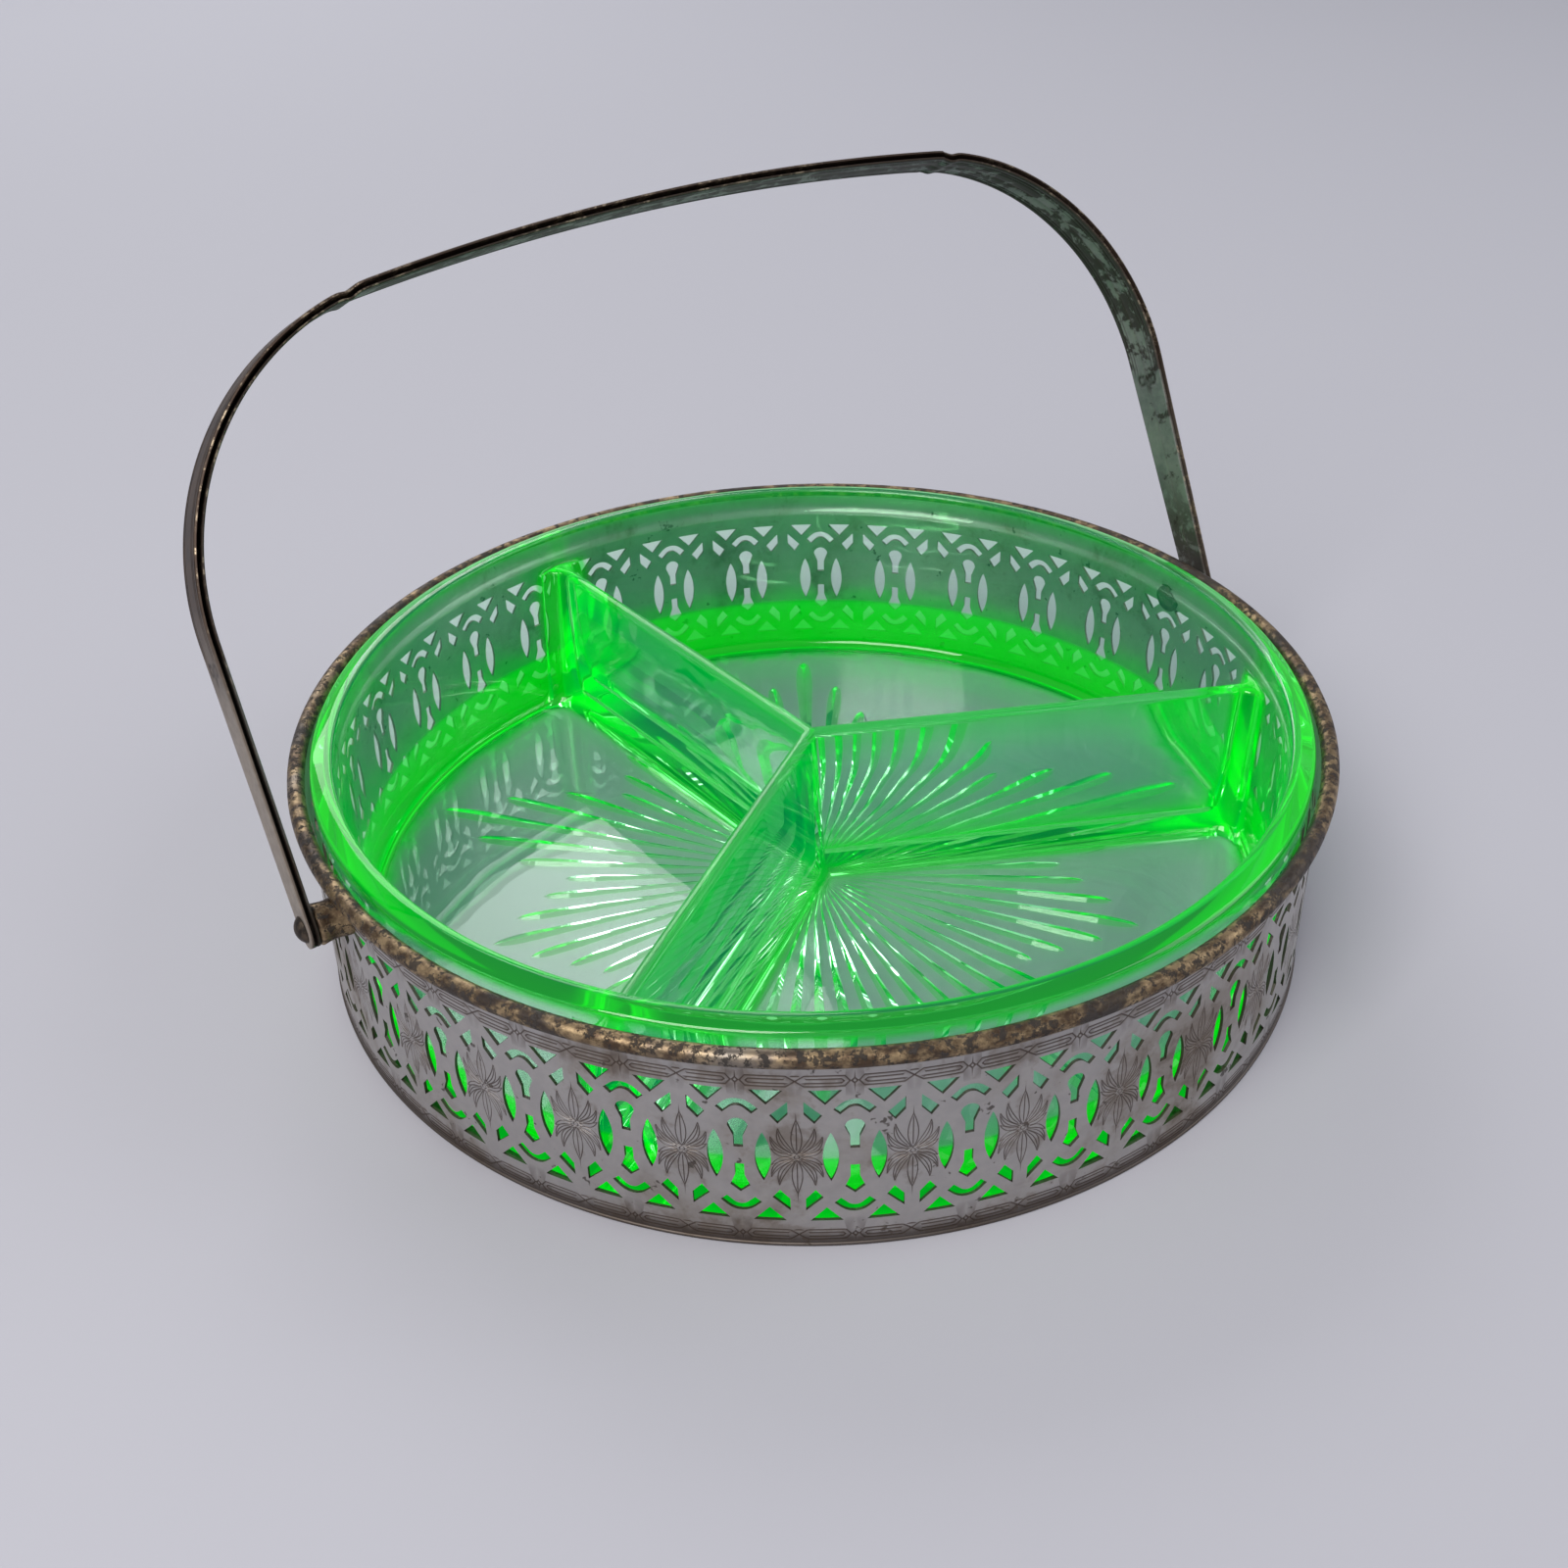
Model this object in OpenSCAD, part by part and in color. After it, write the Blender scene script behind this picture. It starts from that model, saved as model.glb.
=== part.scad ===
// Divided glass relish dish standing in a pierced, silver-plated gallery frame with a swinging bail handle.
// The table is the plane z = 0, the handle's pivot axis runs along X, and the dish lifts straight up.

/* [Gallery band] */
// Outer radius of the pierced band
band_r = 101.2; // [80:0.1:130]
// Height of the band, up to the middle of the bead
band_h = 44.4; // [36:0.1:60]
// Thickness of the band's sheet
sheet_t = 0.6; // [0.5:0.05:1]

/* [Pierced pattern] */
// Target length of one repeat of the pattern round the band
repeat_l = 19.3; // [18.6:0.1:30]
// Width of one lens-shaped opening
lens_w = 2.7; // [1.5:0.1:3]
// Height of one lens-shaped opening
lens_h = 11.2; // [8:0.1:12]
// Distance of a lens from the middle of its repeat
lens_x = 4; // [3.4:0.1:4.4]
// Width of a keyhole's head
keyhole_w = 3.4; // [2.4:0.1:3.8]
// Length of a keyhole
keyhole_l = 6.6; // [5:0.1:7]
// Width of a keyhole's neck
neck_w = 1.6; // [1:0.1:2]
// Gap between the two keyholes of a repeat
keyhole_gap = 3.9; // [2:0.1:6]
// Width of a border triangle
triangle_w = 5.6; // [3:0.1:6]
// Height of a border triangle
triangle_h = 3.2; // [2:0.1:3.6]
// Distance of a triangle's straight side from the middle of the pattern
triangle_z = 15.1; // [14.5:0.1:16.5]
// Thickness of a chevron
chevron_t = 1.6; // [1:0.1:1.9]
// Radius of a chevron's bend, at the middle of its thickness
chevron_r = 2.5; // [2:0.1:3]
// Length of a chevron's straight legs
chevron_leg = 1.7; // [0.5:0.1:2]
// Distance of a chevron's bend from the middle of the pattern
chevron_z = 13; // [12:0.1:14]

/* [Rim bead] */
// Radius of the rolled bead
bead_r = 1.7; // [1.4:0.05:3]
// How much thinner the bead's sheet is than the band's
bead_thinning = 0.1; // [0.05:0.01:0.2]
// Play of the stiffening wire beside the band
wire_play = 0.05; // [0.02:0.01:0.2]

/* [Base ring] */
// Width of the ledge that the glass stands on
ledge_w = 6.7; // [6:0.1:12]
// Thickness of the ledge
ledge_t = 0.8; // [0.6:0.05:1.5]
// Height of the ring's upstand inside the band
upstand_h = 3; // [2:0.1:5]
// How far the foot stands out past the band
foot_lip = 0.3; // [0.1:0.05:0.6]

/* [Glass dish] */
// How far the glass rim stands above the bead
rim_proud = 1.9; // [0:0.1:6]
// Play between the glass rim and the rivets' closed ends
rim_play = 0.3; // [0.2:0.1:1]
// Width of the thick rim's top
rim_w = 4.6; // [3:0.1:7]
// Height of the thick rim
rim_h = 7.5; // [5:0.1:10]
// Thickness of the wall below the rim
glass_wall = 3.6; // [2.5:0.1:5]
// How far the wall stands in from the rim's outside
wall_inset = 1.6; // [1.4:0.1:2]
// How far the wall leans in from the rim down to the foot
wall_draft = 1; // [0.4:0.1:1.2]
// Thickness of the floor
floor_t = 4.6; // [3:0.1:7]
// Rounding where the floor meets the wall outside
foot_round = 1.2; // [0.6:0.1:1.6]
// Play between the glass and the ledge
seat_gap = 0.1; // [0.05:0.05:0.3]

/* [Dividers] */
// How far the dividers' tops lie below the glass rim
divider_drop = 8; // [4:0.1:16]
// Thickness of a divider at its top
divider_top = 3.2; // [2:0.1:5]
// Thickness of a divider at the floor
divider_foot = 8; // [5.5:0.1:12]
// Direction of the first divider from the pivot axis
divider_turn = -25; // [-60:1:60]

/* [Starburst] */
// Depth of the moulded rays in the floor's underside
ray_depth = 0.6; // [0.2:0.1:1]
// Number of rays
rays = 60; // [30:10:80]
// Length of the longest rays
ray_long = 88; // [70:1:90]
// Length of the longest rays in the small sprays
ray_short = 70; // [60:1:80]
// Direction of one large spray from the pivot axis
ray_turn = 57.5; // [0:0.5:72]

/* [Bail handle] */
// Height of the handle's top above the pivot axis
handle_h = 110; // [92:1:160]
// Thickness of the strap
strap_t = 1.8; // [1.2:0.1:3]
// Width of the strap above the shoulders
strap_w = 10; // [8:0.1:12]
// Width of the strap at the pivots
strap_end_w = 7.6; // [6.4:0.1:8]
// Height above the pivots at which the strap reaches its full width
taper_h = 60; // [20:1:70]
// Width of the grip
grip_w = 11.4; // [9:0.1:14]
// Length of the grip
grip_l = 129; // [80:1:135]
// Radius of the handle's gentle top curve
crown_r = 500; // [300:10:800]
// Radius of the handle's shoulders
shoulder_r = 54; // [40:0.5:60]
// Angle at which the handle rests, leaning back from upright
handle_lean = 27; // [0:1:60]

/* [Pivots] */
// Length of a boss, from the band to its outer end
boss_l = 6.1; // [4.5:0.1:10]
// Radius of a boss
boss_r = 4; // [3:0.1:4.2]
// Gap between a boss and the bead above it
boss_gap = 0.2; // [0.1:0.1:2]
// Radius of a rivet's shank
rivet_r = 1.5; // [1:0.1:2]
// Radial play of the strap on the rivet
rivet_play = 0.05; // [0.02:0.01:0.1]
// Radius of a rivet's head
head_r = 2.6; // [2.4:0.1:3.5]
// Height of a rivet's head
head_h = 1.4; // [0.8:0.1:2]
// Radius of a rivet's closed end inside the band
tail_r = 2.3; // [2.2:0.1:2.6]
// Side play of the strap at the boss and at the rivet's head
side_play = 0.15; // [0.05:0.05:0.3]
// Radius of a backing washer
washer_r = 3.4; // [3:0.1:3.8]
// Thickness of a backing washer
washer_t = 0.4; // [0.3:0.1:0.6]
// Thickness of a rivet's closed end
tail_t = 0.5; // [0.4:0.1:0.8]

/* [Hidden] */
$fn = 128;

over = 1;                                        // how far a cutter runs past what it cuts
band_in = band_r - sheet_t;                      // the band's inner face
bead_mid = band_in + bead_r;                     // the bead rolls outwards from the band's inner face
bore_r = bead_r - sheet_t + bead_thinning;       // inside of the rolled bead
repeats = round(2 * PI * band_r / repeat_l);     // whole repeats that go round the band
pattern_z = (band_h - bead_r) / 2;               // the pattern's middle, halfway up the open band
half_repeat = PI * band_r / repeats;             // from an H-shaped bridge to the next flower

glass_z = ledge_t + seat_gap;                    // underside of the glass
rim_r = band_in - washer_t - tail_t - rim_play;  // outside of the glass rim
rim_z = band_h + bead_r + rim_proud;             // top of the glass
wall_r = rim_r - wall_inset;                     // outside of the wall under the rim
foot_r = wall_r - wall_draft;                    // outside of the wall at the foot
floor_z = glass_z + floor_t;                     // top of the floor
divider_z = rim_z - divider_drop;                // top of the dividers

pivot_z = band_h - bead_r - boss_gap - boss_r;   // the pivot axis
boss_x = band_r + boss_l;                        // outer end of a boss
leg_x = boss_x + side_play + strap_t;            // outer face of the handle's legs
head_x = leg_x + side_play;                      // underside of a rivet's head
strap_lap = 0.3;                                 // turn by which the shoulder's arc laps the crown's
// where the crown's arc runs into the shoulder's arc, from upright
crown_turn = asin((leg_x - shoulder_r) / (crown_r - shoulder_r));

// ---- Glass dish ----

// Half section of the bowl without its dividers
module bowl_section() {
    edge = 1.1;         // rounding of the rim's outer edge, as a chamfer
    inner_edge = 0.7;   // the same at its inner edge
    difference() {
        union() {
            polygon([[0, glass_z], [foot_r - foot_round, glass_z], [foot_r, glass_z + foot_round],
                [wall_r, rim_z - rim_h], [rim_r, rim_z - rim_h + wall_inset], [rim_r, rim_z - 2 * edge],
                [rim_r - edge, rim_z], [0, rim_z]]);
            translate([foot_r - foot_round, glass_z + foot_round]) circle(foot_round);
        }
        polygon([[0, floor_z], [foot_r - glass_wall - 1, floor_z], [foot_r - glass_wall, floor_z + 1.5],
            [rim_r - rim_w, rim_z - rim_h], [rim_r - rim_w, rim_z - inner_edge],
            [rim_r - rim_w + inner_edge, rim_z], [rim_r - rim_w + inner_edge, rim_z + over],
            [0, rim_z + over]]);
    }
}

// One divider from the middle out into the wall, thick at its foot and rounded on top
module divider() {
    reach = foot_r - glass_wall / 2;
    crown = divider_top / 2;
    slope = (divider_foot / 2 - crown) / (divider_z - crown - floor_z);
    root = divider_foot / 2 + slope * over;      // half the thickness where it starts, inside the floor
    rotate([90, 0, 90]) linear_extrude(reach) {
        polygon([[-root, floor_z - over], [root, floor_z - over],
            [crown, divider_z - crown], [-crown, divider_z - crown]]);
        translate([0, divider_z - crown]) circle(crown);
    }
}

// Length of ray i: five large sprays with five small ones between them, each falling off to its sides
spray = rays / 5;
function from_large(i) = min(i % spray, spray - i % spray);
function ray_length(i) = min(foot_r - foot_round - 2,
    max(ray_long - 11.5 * from_large(i), ray_short - 6 * (spray / 2 - from_large(i))));

// The starburst's outline: each ray widens to a shoulder and ends in a point
module starburst() {
    pitch = 360 / rays;
    hub = 10;
    polygon([for (i = [0 : rays - 1])
        let (turn = ray_turn + i * pitch, tip = ray_length(i))
        for (p = [[hub, -0.5], [0.84 * tip, -0.3], [tip, 0], [0.84 * tip, 0.3]])
        p[0] * [cos(turn + p[1] * pitch), sin(turn + p[1] * pitch)]]);
}

module glass_dish() {
    color([0.3, 0.95, 0.2, 0.6]) difference() {
        union() {
            rotate_extrude() bowl_section();
            for (k = [0 : 2]) rotate(divider_turn + 120 * k) divider();
        }
        translate([0, 0, glass_z - over]) linear_extrude(ray_depth + over) starburst();
    }
}

// ---- Gallery band ----

// A pointed oval: the overlap of two equal circles
module lens() {
    r = (lens_w * lens_w + lens_h * lens_h) / (4 * lens_w);
    intersection() {
        translate([r - lens_w / 2, 0]) circle(r);
        translate([lens_w / 2 - r, 0]) circle(r);
    }
}

// A keyhole with a round head up, or a pointed one; its neck ends at the origin
module keyhole(pointed = false) {
    head = keyhole_w / 2;
    head_z = pointed ? 0.76 * keyhole_l : keyhole_l - head;
    neck_z = pointed ? 0.4 * keyhole_l : head_z - 1.4 * head;
    top = pointed ? [[0, keyhole_l]] : [];
    if (!pointed) translate([0, head_z]) circle(head);
    polygon(concat([[-head, head_z], [-neck_w / 2, neck_z], [-neck_w / 2, 0],
        [neck_w / 2, 0], [neck_w / 2, neck_z], [head, head_z]], top));
}

// A boomerang: an arc over the origin with a straight leg at each end, pointing down
function bend_side(r, from, to) = [for (i = [0 : 4]) let (a = from + (to - from) * i / 4) r * [sin(a), cos(a)]];
function leg_end(r, turn) = r * [sin(turn), cos(turn)] + chevron_leg * [sign(turn) * cos(turn), -abs(sin(turn))];
module chevron() {
    turn = 45;
    outside = chevron_r + chevron_t / 2;
    inside = chevron_r - chevron_t / 2;
    translate([0, -outside]) polygon(concat([leg_end(outside, -turn)], bend_side(outside, -turn, turn),
        [leg_end(outside, turn), leg_end(inside, turn)], bend_side(inside, turn, -turn), [leg_end(inside, -turn)]));
}

// The slanted openings beside the tip of a flower's petal, with the flower's middle at the origin
module petal_gaps() {
    for (side = [0, 1]) mirror([side, 0])
        polygon([[1.3, 12.6], [1.3, 9.8], [3, 7.7], [4.3, 9.5]]);
}

// The upper half of one repeat without its keyhole, with the middle of an H-shaped bridge at the origin
module upper_openings() {
    translate([0, chevron_z]) chevron();
    for (side = [-1, 1]) translate([side * half_repeat / 2, 0])
        polygon([[-triangle_w / 2, triangle_z], [triangle_w / 2, triangle_z], [0, triangle_z - triangle_h]]);
    translate([half_repeat, 0]) petal_gaps();
}

// All openings of one repeat, standing upright on the X axis and running out through the band
module repeat_cutter() {
    translate([band_in - over, 0, pattern_z]) rotate([90, 0, 90]) linear_extrude(sheet_t + 2 * over) {
        for (side = [-1, 1]) translate([side * lens_x, 0]) lens();
        for (half = [0, 1]) mirror([0, half]) {
            upper_openings();
            translate([0, keyhole_gap / 2]) keyhole(pointed = half == 1);
        }
    }
}

module gallery_band() {
    color("silver") difference() {
        translate([0, 0, ledge_t]) cylinder(h = band_h - ledge_t, r = band_r);
        cylinder(h = band_h + over, r = band_in);
        for (k = [0 : repeats - 1]) rotate(k * 360 / repeats) repeat_cutter();
        on_both_sides() shank();
    }
}

// ---- Rim and foot ----

// A round section at the rim, to be turned round the dish's axis
module rim_section(r) {
    translate([bead_mid, band_h]) circle(r);
}

// A rolled tube, open below where the band runs up into it
module rim_bead() {
    color("darkgoldenrod") rotate_extrude() difference() {
        rim_section(bead_r);
        rim_section(bore_r);
        translate([band_in - over, 0]) square([sheet_t + over, band_h]);
    }
}

module rim_wire() {
    color("dimgray") rotate_extrude() rim_section(bead_r - sheet_t - wire_play);
}

module base_ring() {
    color("gray") rotate_extrude() {
        translate([band_in - ledge_w, 0]) square([ledge_w + sheet_t + foot_lip, ledge_t]);
        translate([band_in - sheet_t, ledge_t]) square([sheet_t, upstand_h]);
    }
}

// ---- Bail handle ----

// A sector of a ring around the origin, with both angles counted clockwise from upright
module arc_strip(r_out, from, to) {
    far = 2 * r_out;
    intersection() {
        difference() {
            circle(r_out, $fn = 256);
            circle(r_out - strap_t, $fn = 256);
        }
        polygon([[0, 0], far * [sin(from), cos(from)], far * [sin((from + to) / 2), cos((from + to) / 2)],
            far * [sin(to), cos(to)]]);
    }
}

// The strap's line seen from the front, with the pivot axis at height 0
module strap_line() {
    shoulder_x = leg_x - shoulder_r;
    shoulder_z = handle_h - crown_r + (crown_r - shoulder_r) * cos(crown_turn);
    translate([0, handle_h - crown_r]) arc_strip(crown_r, -crown_turn, crown_turn);
    for (side = [0, 1]) mirror([side, 0]) {
        translate([shoulder_x, shoulder_z]) arc_strip(shoulder_r, crown_turn - strap_lap, 90);
        translate([leg_x - strap_t, -strap_end_w / 2]) square([strap_t, shoulder_z + strap_end_w / 2]);
    }
}

// The strap's widths seen from the side: round ends, a taper, then parallel edges
module strap_widths() {
    circle(strap_end_w / 2);
    polygon([[-strap_end_w / 2, 0], [strap_end_w / 2, 0], [strap_w / 2, taper_h], [strap_w / 2, handle_h + over],
        [-strap_w / 2, handle_h + over], [-strap_w / 2, taper_h]]);
}

// Turn a drawing in (across, height) upright with the given depth: facing -Y, or +X when sideways
module upright(depth, sideways = false) {
    rotate([90, 0, sideways ? 90 : 0]) translate([0, 0, -depth / 2]) linear_extrude(depth) children();
}

module bail_handle() {
    color("saddlebrown") translate([0, 0, pivot_z]) rotate([-handle_lean, 0, 0]) difference() {
        union() {
            intersection() {
                upright(grip_w) strap_line();
                upright(2 * leg_x + over, sideways = true) strap_widths();
            }
            intersection() {
                upright(grip_w) strap_line();
                translate([-grip_l / 2, -grip_w / 2, handle_h / 2]) cube([grip_l, grip_w, handle_h]);
            }
        }
        rotate([0, 90, 0]) cylinder(h = 2 * leg_x + 2 * over, r = rivet_r + rivet_play, center = true);
    }
}

// ---- Pivots: drawn on the +X side and turned round for the other one ----

module on_both_sides() {
    for (turn = [0, 180]) rotate(turn) children();
}

// A cylinder on the pivot axis between two distances from the middle
module on_axis(from, to, r) {
    translate([from, 0, pivot_z]) rotate([0, 90, 0]) cylinder(h = to - from, r = r);
}

// Everything within the given radius of the dish's upright axis
module core(r) {
    cylinder(h = band_h + over, r = r, $fn = 256);
}

module shank() {
    on_axis(band_in - washer_t - tail_t / 2, head_x, rivet_r);
}

// The boss is saddled onto the outside of the band
module boss() {
    color("peru") difference() {
        on_axis(band_in, boss_x, boss_r);
        core(band_r);
        shank();
    }
}

// The washer is dished to the inside of the band
module washer() {
    color("gray") difference() {
        intersection() {
            on_axis(band_in - 2 * washer_t, band_r, washer_r);
            core(band_in);
        }
        core(band_in - washer_t);
        shank();
    }
}

module rivet() {
    dome_r = (head_r * head_r + head_h * head_h) / (2 * head_h);
    color([0.25, 0.2, 0.16]) {
        shank();
        translate([head_x, 0, pivot_z]) rotate([0, 90, 0]) rotate_extrude() intersection() {
            translate([0, head_h - dome_r]) circle(dome_r);
            square([head_r, head_h]);
        }
        intersection() {
            on_axis(band_in - washer_t - tail_t, band_in, tail_r);
            core(band_in - washer_t);
        }
    }
}

module left_boss() { rotate(180) boss(); }
module right_boss() { boss(); }
module left_rivet() { rotate(180) rivet(); }
module right_rivet() { rivet(); }
module left_washer() { rotate(180) washer(); }
module right_washer() { washer(); }

glass_dish();
gallery_band();
rim_bead();
rim_wire();
base_ring();
bail_handle();
left_boss();
right_boss();
left_rivet();
right_rivet();
left_washer();
right_washer();
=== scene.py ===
import bpy
import bmesh
import numpy as np
from mathutils import Matrix, Vector
from mathutils.geometry import delaunay_2d_cdt


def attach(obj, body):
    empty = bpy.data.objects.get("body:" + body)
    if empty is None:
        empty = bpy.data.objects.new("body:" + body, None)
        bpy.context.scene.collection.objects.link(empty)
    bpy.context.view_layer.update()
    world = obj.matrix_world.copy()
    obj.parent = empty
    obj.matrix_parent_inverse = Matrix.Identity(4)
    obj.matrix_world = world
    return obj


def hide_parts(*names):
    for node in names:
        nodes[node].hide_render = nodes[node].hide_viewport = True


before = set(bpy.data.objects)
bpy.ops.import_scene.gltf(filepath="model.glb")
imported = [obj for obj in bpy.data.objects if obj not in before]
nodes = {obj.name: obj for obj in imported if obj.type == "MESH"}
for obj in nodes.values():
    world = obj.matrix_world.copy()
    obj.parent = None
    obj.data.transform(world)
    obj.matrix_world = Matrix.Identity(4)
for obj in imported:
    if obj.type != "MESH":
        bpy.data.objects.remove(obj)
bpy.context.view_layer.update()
mm = 0.001                       # the sizes below are in millimetres, the scene is in metres
wholeTurn = 2 * np.pi


# ---- Making meshes ----

# A piece from points in millimetres and faces; doubles are merged and edges past sharpAngle stay sharp; an
# attribute has a value for each point, or for each corner of each face
def makePiece(name, points, faces, material, sharpAngle=35, attributes={}):
    mesh = bpy.data.meshes.new(name)
    mesh.from_pydata((np.asarray(points, float) * mm).tolist(), [], [list(map(int, f)) for f in faces])
    for key, values in attributes.items():
        domain = "POINT" if np.size(values) == len(points) else "CORNER"
        layer = mesh.attributes.new(key, "FLOAT", domain)
        layer.data.foreach_set("value", np.asarray(values, np.float32).ravel())
    work = bmesh.new()
    work.from_mesh(mesh)
    bmesh.ops.remove_doubles(work, verts=work.verts, dist=2e-7)
    bmesh.ops.dissolve_degenerate(work, edges=work.edges, dist=1e-8)
    work.to_mesh(mesh)
    work.free()
    mesh.polygons.foreach_set("use_smooth", np.ones(len(mesh.polygons), bool))
    mesh.set_sharp_from_angle(angle=np.radians(sharpAngle))
    mesh.materials.append(material)
    piece = bpy.data.objects.new(name, mesh)
    bpy.context.scene.collection.objects.link(piece)
    return piece


# Faces of a rows by columns grid of points, its columns closed round, and its rows too when asked
def gridFaces(rows, columns, closeRows=False, closeColumns=True, first=0):
    i = np.arange(rows if closeRows else rows - 1)[:, None]
    j = np.arange(columns if closeColumns else columns - 1)[None, :]
    nextRow, nextColumn = (i + 1) % rows, (j + 1) % columns
    corners = [i * columns + j, i * columns + nextColumn, nextRow * columns + nextColumn, nextRow * columns + j]
    return first + np.stack([c + 0 * (i + j) for c in corners], -1).reshape(-1, 4)


# A profile of (radius, height) turned round Z: a point (r, z) goes to (r cos a, r sin a, z)
def turned(profile, segments):
    profile = np.asarray(profile, float)
    a = np.linspace(0, wholeTurn, segments, endpoint=False)[None, :]
    r, z = profile[:, :1], profile[:, 1:]
    return np.stack([r * np.cos(a), r * np.sin(a), z + 0 * a], -1)


# An arc of points round a middle, between two angles in degrees
def arc(middle, radius, start, end, steps):
    a = np.radians(np.linspace(start, end, steps))
    return np.stack([middle[0] + radius * np.cos(a), middle[1] + radius * np.sin(a)], -1)


# A smooth step from 0 to 1 between two values
def easeStep(low, high, x):
    t = np.clip((np.asarray(x, float) - low) / (high - low), 0, 1)
    return t * t * (3 - 2 * t)


# ---- Shader maths ----

class Signal:
    # One socket of a material's nodes; arithmetic on it adds Math nodes
    def __init__(self, tree, socket=None):
        self.tree = tree
        self.socket = socket

    # Any node: its settings first, then the values or links of its inputs; gives the named or first output
    def node(self, kind, settings={}, inputs={}, output=0):
        item = self.tree.nodes.new("ShaderNode" + kind)
        for key, value in settings.items():
            setattr(item, key, value)
        for key, value in inputs.items():
            if isinstance(value, Signal):
                self.tree.links.new(value.socket, item.inputs[key])
            else:
                item.inputs[key].default_value = value
        return Signal(self.tree, item.outputs[output])

    def math(self, operation, *values):
        return self.node("Math", {"operation": operation}, dict(enumerate(values)))

    def __add__(self, other): return self.math("ADD", self, other)
    def __radd__(self, other): return self.math("ADD", other, self)
    def __sub__(self, other): return self.math("SUBTRACT", self, other)
    def __rsub__(self, other): return self.math("SUBTRACT", other, self)
    def __mul__(self, other): return self.math("MULTIPLY", self, other)
    def __rmul__(self, other): return self.math("MULTIPLY", other, self)

    # 0 at low, 1 at high, smooth between
    def between(self, low, high):
        return self.node("MapRange", {"interpolation_type": "SMOOTHSTEP"},
            {"Value": self, "From Min": low, "From Max": high})

    # Two colours mixed by this signal
    def colours(self, first, second):
        pick = {"data_type": "RGBA"}
        return self.node("Mix", pick, {0: self, 6: paint(first), 7: paint(second)}, 2)


def paint(colour):
    return colour if isinstance(colour, Signal) else (*colour, 1)


# A new material: gives it, its Principled shader and a signal to start from
def newMaterial(name, **values):
    material = bpy.data.materials.new(name)
    material.use_nodes = True
    tree = material.node_tree
    shader = tree.nodes["Principled BSDF"]
    for key, value in values.items():
        shader.inputs[key.replace("_", " ")].default_value = value
    return material, shader, Signal(tree)


# Links signals to the shader's own inputs
def feed(start, shader, **signals):
    for key, signal in signals.items():
        start.tree.links.new(signal.socket, shader.inputs[key.replace("_", " ")])


# Noise on the piece's own coordinates, with its scale in features per metre
def noise(start, where, scale, detail=4, roughness=0.6, distortion=0.0):
    return start.node("TexNoise", {}, {"Vector": where, "Scale": scale, "Detail": detail,
        "Roughness": roughness, "Distortion": distortion})


# A value stored on the mesh
def stored(start, name):
    return start.node("Attribute", {"attribute_name": name}, output="Fac")


# Height of a bump in metres, turned into a normal
def bump(start, height, distance, strength=1.0):
    return start.node("Bump", {}, {"Height": height, "Distance": distance, "Strength": strength})


# ---- Materials ----

# Worn plate: soft grey with warm patches, brown where dirt gathers, dark in its engraved lines and in its pits,
# with painted shade on the walls of its openings and darker towards the bottom
def wornPlate():
    material, shader, start = newMaterial("wornSilverPlate", Metallic=0.8)
    place = start.node("TexCoord", output="Object")
    patches = noise(start, place, 38, 5, 0.62, 0.4)
    fine = noise(start, place, 420, 3, 0.6)
    scratches = noise(start, start.node("Mapping", {}, {"Vector": place, "Scale": (1, 1, 0.12)}), 900, 2, 0.5)
    pitField = noise(start, place, 230, 3, 0.7)
    groove = stored(start, "groove")
    dirt = stored(start, "dirt")
    base = patches.between(0.46, 0.68).colours((0.42, 0.40, 0.395), (0.31, 0.275, 0.245))
    base = (fine.between(0.3, 0.75) * 0.3).colours(base, (0.56, 0.53, 0.50))
    tarnish = patches.between(0.60, 0.72) * fine.between(0.35, 0.6)
    base = (tarnish * 0.8).colours(base, (0.085, 0.06, 0.045))
    grime = (patches * 0.55 + fine * 0.45 + dirt * 0.10).between(0.55, 0.67)
    base = (grime * 0.42).colours(base, (0.14, 0.10, 0.07))
    pits = pitField.between(0.65, 0.70)
    base = (pits * 0.85).colours(base, (0.03, 0.022, 0.018))
    # The stored groove darkness is the engraved lines' own dark colour on the face and painted shade on the walls
    # of the openings
    base = (groove.math("POWER", groove, 0.6) * 0.92).colours(base, (0.07, 0.046, 0.036))
    # Darker towards the bottom: the colour turns dark brown in the lowest 2.2 to 5 mm
    height = start.node("SeparateXYZ", {}, {"Vector": place}, "Z")
    darkerLow = 1 - (height + fine * 0.0016).between(0.0022, 0.0050)
    base = (darkerLow * 0.8).colours(base, (0.06, 0.042, 0.032))
    feed(start, shader, Base_Color=base, Roughness=0.36 + patches * 0.22 + pits * 0.2 + groove * 0.1,
        Metallic=0.9 - pits * 0.5 - tarnish * 0.35,
        Normal=bump(start, fine * 0.3 + scratches * 0.05 - pits, 0.00006, 0.5))
    return material


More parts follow.
